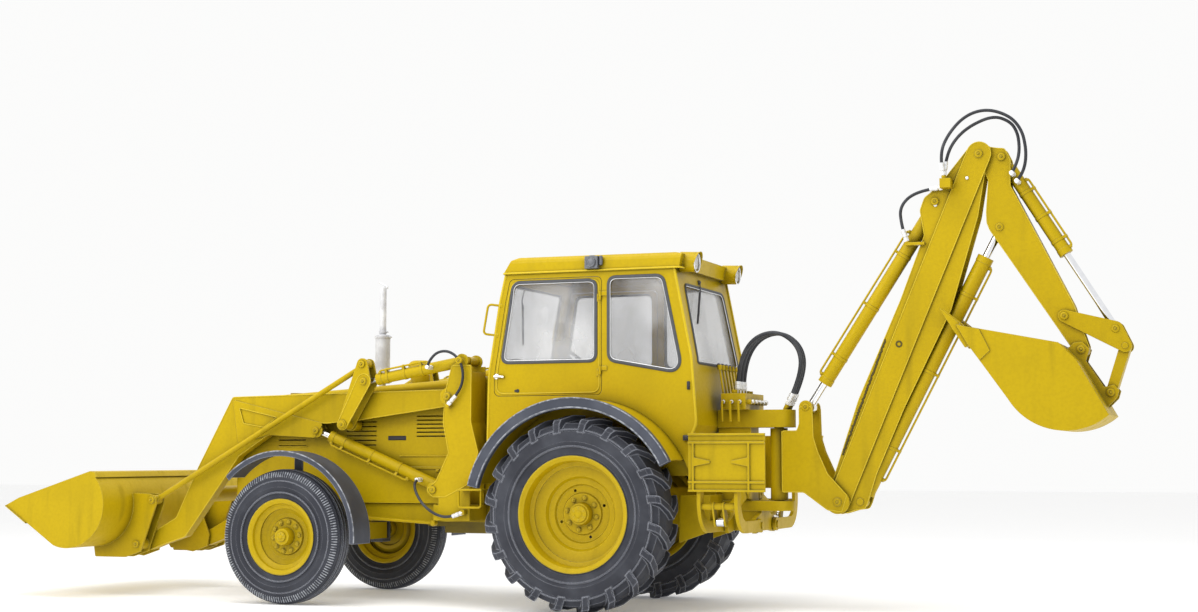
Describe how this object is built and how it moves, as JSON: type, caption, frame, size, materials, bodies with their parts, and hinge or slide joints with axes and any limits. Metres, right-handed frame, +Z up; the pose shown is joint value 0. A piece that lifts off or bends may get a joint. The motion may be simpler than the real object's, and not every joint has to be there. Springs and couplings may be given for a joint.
{
  "type": "backhoe loader",
  "caption": "Tractor backhoe loader with cab, front loader bucket on lift arms, and a folded rear digging arm with swing post, bucket and stabilisers.",
  "frame": {"origin": "centre of the machine's footprint box on the ground, midway between the loader bucket's edge and the folded digging arm's tail", "axes": "+X forward along the machine towards the loader bucket, +Y to the driver's left, +Z up"},
  "size_m": [8.411, 1.97, 3.4566],
  "materials": {
    "yellow_paint": "gloss",
    "dark_casting": "matt",
    "black_trim": "satin",
    "tyre": "matt",
    "rubber": "matt",
    "glass": "clear",
    "chrome_rod": "polished",
    "lamp": "clear",
    "exhaust_steel": "satin",
    "seat_cover": "satin"
  },
  "bodies": {
    "machine": {"chassis_frame": "yellow_paint", "engine_block": "dark_casting", "rear_axle": "dark_casting", "front_axle": "yellow_paint", "hood": "yellow_paint", "exhaust": "exhaust_steel", "cab_body": "yellow_paint", "cab_roof": "yellow_paint", "cab_glass": "glass", "lamps": "lamp", "rear_fenders": "yellow_paint", "fender_flaps": "rubber", "cab_interior": "black_trim", "seat_cushion": "seat_cover", "loader_frame": "yellow_paint", "backhoe_frame": "yellow_paint", "valve_block": "yellow_paint", "machine_hoses": "rubber"},
    "boom": {"boom": "yellow_paint", "boom_hoses": "rubber"},
    "rear_wheel_left": {"rear_rim_left": "yellow_paint", "rear_tyre_left": "tyre"},
    "front_wheel_left": {"front_rim_left": "yellow_paint", "front_tyre_left": "tyre"},
    "door_left": {"door_left": "yellow_paint", "door_glass_left": "glass"},
    "rear_wheel_right": {"rear_rim_right": "yellow_paint", "rear_tyre_right": "tyre"},
    "front_wheel_right": {"front_rim_right": "yellow_paint", "front_tyre_right": "tyre"},
    "door_right": {"door_right": "yellow_paint", "door_glass_right": "glass"},
    "boom_barrel": {"boom_barrel": "yellow_paint"},
    "boom_rod": {"boom_rod": "chrome_rod"},
    "dipper": {"dipper": "yellow_paint"},
    "dipper_barrel": {"dipper_barrel": "yellow_paint"},
    "dipper_rod": {"dipper_rod": "chrome_rod"},
    "hoe_barrel": {"hoe_barrel": "yellow_paint"},
    "hoe_bucket": {"hoe_bucket": "yellow_paint"},
    "hoe_rod": {"hoe_rod": "chrome_rod"},
    "knuckle_left": {"knuckle_left": "yellow_paint"},
    "knuckle_right": {"knuckle_right": "yellow_paint"},
    "lift_barrels": {"lift_barrels": "yellow_paint"},
    "lift_rods": {"lift_rods": "chrome_rod"},
    "link": {"link": "yellow_paint"},
    "loader_arms": {"loader_arms": "yellow_paint"},
    "loader_bucket": {"loader_bucket": "yellow_paint"},
    "push_rods": {"push_rods": "yellow_paint"},
    "rocker": {"rocker": "yellow_paint"},
    "stab_barrel_left": {"stab_barrel_left": "yellow_paint"},
    "stab_barrel_right": {"stab_barrel_right": "yellow_paint"},
    "stab_rod_left": {"stab_rod_left": "chrome_rod"},
    "stab_rod_right": {"stab_rod_right": "chrome_rod"},
    "stabiliser_left": {"stabiliser_left": "yellow_paint"},
    "stabiliser_right": {"stabiliser_right": "yellow_paint"},
    "swing_post": {"swing_post": "yellow_paint"},
    "tilt_barrels": {"tilt_barrels": "yellow_paint"},
    "tilt_levers": {"tilt_levers": "yellow_paint"},
    "tilt_rods": {"tilt_rods": "chrome_rod"}
  },
  "joints": [
    {"name": "rear_spin_left", "type": "hinge", "parent": "machine", "child": "rear_wheel_left", "pos_m": [-0.536, 0.755, 0.685], "axis": [0, 1, 0], "continuous": true},
    {"name": "steer_left", "type": "hinge", "parent": "machine", "child": "knuckle_left", "pos_m": [1.784, 0.63, 0.495], "axis": [0, 0, 1], "range_deg": [-28, 28]},
    {"name": "front_spin_left", "type": "hinge", "parent": "knuckle_left", "child": "front_wheel_left", "pos_m": [1.784, 0.81, 0.495], "axis": [0, 1, 0], "continuous": true},
    {"name": "door_left_open", "type": "hinge", "parent": "machine", "child": "door_left", "pos_m": [-0.626, 0.619, 1.9], "axis": [0, 0, 1], "range_deg": [0, 80]},
    {"name": "rear_spin_right", "type": "hinge", "parent": "machine", "child": "rear_wheel_right", "pos_m": [-0.536, -0.755, 0.685], "axis": [0, 1, 0], "continuous": true},
    {"name": "steer_right", "type": "hinge", "parent": "machine", "child": "knuckle_right", "pos_m": [1.784, -0.63, 0.495], "axis": [0, 0, 1], "range_deg": [-28.3, 28.3]},
    {"name": "front_spin_right", "type": "hinge", "parent": "knuckle_right", "child": "front_wheel_right", "pos_m": [1.784, -0.81, 0.495], "axis": [0, 1, 0], "continuous": true},
    {"name": "door_right_open", "type": "hinge", "parent": "machine", "child": "door_right", "pos_m": [-0.626, -0.619, 1.9], "axis": [0, 0, -1], "range_deg": [0, 80]},
    {"name": "loader_lift", "type": "hinge", "parent": "machine", "child": "loader_arms", "pos_m": [0.576, 0, 1.521], "axis": [0, -1, 0], "range_deg": [-5, 52]},
    {"name": "loader_tilt", "type": "hinge", "parent": "loader_arms", "child": "loader_bucket", "pos_m": [3.264, 0, 0.404], "axis": [0, 1, 0], "range_deg": [0, 80]},
    {"name": "lift_barrels_turn", "type": "hinge", "parent": "machine", "child": "lift_barrels", "pos_m": [0.69, 0, 0.842], "axis": [0, -1, 0], "range_deg": [-4.06, 39.37]},
    {"name": "lift_rods_slide", "type": "slide", "parent": "lift_barrels", "child": "lift_rods", "axis": [0.9247, 0, 0.3807], "range_m": [-0.05286, 0.54414]},
    {"name": "tilt_barrels_turn", "type": "hinge", "parent": "machine", "child": "tilt_barrels", "pos_m": [0.464, 0, 1.781], "axis": [0, -1, 0], "range_deg": [-4.86, 47.74]},
    {"name": "tilt_rods_slide", "type": "slide", "parent": "tilt_barrels", "child": "tilt_rods", "axis": [0.9857, 0, -0.1683], "range_m": [-0.0006, 0.32973]},
    {"name": "levers_turn", "type": "hinge", "parent": "loader_arms", "child": "tilt_levers", "pos_m": [1.454, 0, 1.322], "axis": [0, -1, 0], "range_deg": [-56.08, 0.3]},
    {"name": "push_rods_turn", "type": "hinge", "parent": "tilt_levers", "child": "push_rods", "pos_m": [1.292, 0, 1.771], "axis": [0, -1, 0], "range_deg": [-0.3, 54.21]},
    {"name": "swing", "type": "hinge", "parent": "machine", "child": "swing_post", "pos_m": [-1.756, 0, 1], "axis": [0, 0, 1], "range_deg": [-70, 70]},
    {"name": "boom_lower", "type": "hinge", "parent": "swing_post", "child": "boom", "pos_m": [-2.206, 0, 0.768], "axis": [0, -1, 0], "range_deg": [-5, 90]},
    {"name": "boom_barrel_turn", "type": "hinge", "parent": "boom", "child": "boom_barrel", "pos_m": [-2.908, 0, 2.846], "axis": [0, -1, 0], "range_deg": [-0.33, 0.83]},
    {"name": "boom_rod_slide", "type": "slide", "parent": "boom_barrel", "child": "boom_rod", "axis": [0.5469, 0, -0.8372], "range_m": [-0.0559, 0.996]},
    {"name": "dipper_out", "type": "hinge", "parent": "boom", "child": "dipper", "pos_m": [-3.216, 0, 3.16], "axis": [0, 1, 0], "range_deg": [0, 105]},
    {"name": "dipper_barrel_turn", "type": "hinge", "parent": "boom", "child": "dipper_barrel", "pos_m": [-2.356, 0, 0.77], "axis": [0, -1, 0], "range_deg": [-0.3, 1.88]},
    {"name": "dipper_rod_slide", "type": "slide", "parent": "dipper_barrel", "child": "dipper_rod", "axis": [-0.4652, 0, 0.8852], "range_m": [-0.0006, 0.84741]},
    {"name": "hoe_open", "type": "hinge", "parent": "dipper", "child": "hoe_bucket", "pos_m": [-3.871, 0, 1.798], "axis": [0, 1, 0], "range_deg": [0, 130]},
    {"name": "rocker_turn", "type": "hinge", "parent": "dipper", "child": "rocker", "pos_m": [-3.766, 0, 2.026], "axis": [0, -1, 0], "range_deg": [-99.16, 0.3]},
    {"name": "link_turn", "type": "hinge", "parent": "rocker", "child": "link", "pos_m": [-4.156, 0, 1.818], "axis": [0, -1, 0], "range_deg": [-0.3, 66.92]},
    {"name": "hoe_barrel_turn", "type": "hinge", "parent": "dipper", "child": "hoe_barrel", "pos_m": [-3.366, 0, 3.135], "axis": [0, -1, 0], "range_deg": [-0.89, 0.3]},
    {"name": "hoe_rod_slide", "type": "slide", "parent": "hoe_barrel", "child": "hoe_rod", "axis": [-0.5191, 0, -0.8547], "range_m": [-0.53341, 0.0006]},
    {"name": "stabiliser_left_down", "type": "hinge", "parent": "machine", "child": "stabiliser_left", "pos_m": [-1.536, 0.2, 0.6], "axis": [-1, 0, 0], "range_deg": [0, 92]},
    {"name": "stab_barrel_left_turn", "type": "hinge", "parent": "machine", "child": "stab_barrel_left", "pos_m": [-1.536, 0.15, 0.82], "axis": [-1, 0, 0], "range_deg": [-0.3, 67.78]},
    {"name": "stab_rod_left_slide", "type": "slide", "parent": "stab_barrel_left", "child": "stab_rod_left", "axis": [0, 0.9487, -0.3162], "range_m": [-0.0006, 0.17121]},
    {"name": "stabiliser_right_down", "type": "hinge", "parent": "machine", "child": "stabiliser_right", "pos_m": [-1.536, -0.2, 0.6], "axis": [1, 0, 0], "range_deg": [0, 92]},
    {"name": "stab_barrel_right_turn", "type": "hinge", "parent": "machine", "child": "stab_barrel_right", "pos_m": [-1.536, -0.15, 0.82], "axis": [1, 0, 0], "range_deg": [-0.3, 67.78]},
    {"name": "stab_rod_right_slide", "type": "slide", "parent": "stab_barrel_right", "child": "stab_rod_right", "axis": [0, -0.9487, -0.3162], "range_m": [-0.0006, 0.17121]}
  ],
  "couplings": [
    {"joint": "steer_right", "follows": "steer_left", "ratio": 1},
    {"joint": "lift_barrels_turn", "follows": "loader_lift", "ratio": 0.7513},
    {"joint": "lift_rods_slide", "follows": "loader_lift", "m_per_rad": 0.5989},
    {"joint": "tilt_barrels_turn", "follows": "loader_lift", "ratio": 0.91221},
    {"joint": "tilt_rods_slide", "follows": "loader_tilt", "m_per_rad": 0.23572},
    {"joint": "levers_turn", "follows": "loader_tilt", "ratio": -0.69727},
    {"joint": "push_rods_turn", "follows": "loader_tilt", "ratio": 0.67383},
    {"joint": "boom_barrel_turn", "follows": "boom_lower", "ratio": 0.00586},
    {"joint": "boom_rod_slide", "follows": "boom_lower", "m_per_rad": 0.63369},
    {"joint": "dipper_barrel_turn", "follows": "dipper_out", "ratio": 0.01504},
    {"joint": "dipper_rod_slide", "follows": "dipper_out", "m_per_rad": 0.46208},
    {"joint": "rocker_turn", "follows": "hoe_open", "ratio": -0.76047},
    {"joint": "link_turn", "follows": "hoe_open", "ratio": 0.5125},
    {"joint": "hoe_barrel_turn", "follows": "hoe_open", "ratio": -0.0045},
    {"joint": "hoe_rod_slide", "follows": "hoe_open", "m_per_rad": -0.23483},
    {"joint": "stab_barrel_left_turn", "follows": "stabiliser_left_down", "ratio": 0.73347},
    {"joint": "stab_rod_left_slide", "follows": "stabiliser_left_down", "m_per_rad": 0.10625},
    {"joint": "stab_barrel_right_turn", "follows": "stabiliser_right_down", "ratio": 0.73347},
    {"joint": "stab_rod_right_slide", "follows": "stabiliser_right_down", "m_per_rad": 0.10625}
  ]
}
